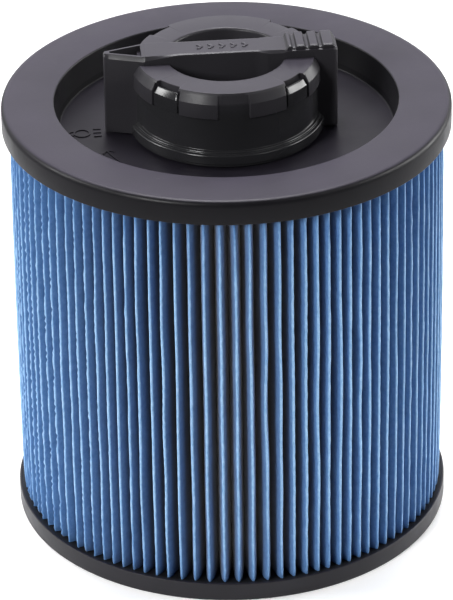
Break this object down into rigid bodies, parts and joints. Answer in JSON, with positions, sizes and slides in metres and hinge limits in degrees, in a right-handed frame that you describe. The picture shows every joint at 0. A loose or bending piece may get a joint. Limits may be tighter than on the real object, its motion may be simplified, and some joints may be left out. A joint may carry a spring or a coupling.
{
  "type": "pleated cartridge filter",
  "caption": "Round pleated cartridge filter for a wet and dry dust extractor, open at the base, with a sunk twist-lock handle on its closed cap.",
  "frame": {"origin": "axis of the cartridge, on the face of the open end that it stands on", "axes": "+Z along the axis towards the handle; the handle lies along X at rest with its pointer towards -X; -Y is the side that faces the viewer"},
  "size_m": [0.2, 0.2, 0.2289],
  "materials": {
    "black_plastic": "moulded satin grain",
    "dark_plastic": "smooth moulded",
    "blue_media": "pleated spunbond sheet",
    "seam_glue": "hot-melt adhesive",
    "amber_glue": "cast adhesive",
    "black_glue": "cast adhesive",
    "black_rubber": "moulded rubber",
    "washer_plastic": "natural acetal",
    "screw_steel": "zinc plated"
  },
  "bodies": {
    "cartridge": {"closed_end_cap": "black_plastic", "position_marks": "black_plastic", "closed_end_potting": "amber_glue", "pleated_media": "blue_media", "media_seam_strip": "seam_glue", "support_cage": "dark_plastic", "open_end_potting": "black_glue", "open_end_ring": "black_plastic", "seal_ring": "black_rubber"},
    "turret": {"turret_drum": "dark_plastic", "handle_cap": "black_plastic", "handle_bar": "black_plastic", "pointer_arm": "black_plastic", "grip_arm": "black_plastic", "grip_pad": "black_plastic", "upper_thrust_washer": "washer_plastic", "shaft_seal": "black_rubber", "lower_thrust_washer": "washer_plastic", "lock_socket": "dark_plastic", "socket_screws": "screw_steel"}
  },
  "joints": [
    {"name": "turret_turn", "type": "hinge", "parent": "cartridge", "child": "turret", "pos_m": [0, 0, 0.185], "axis": [0, 0, 1], "range_deg": [0, 90]}
  ]
}
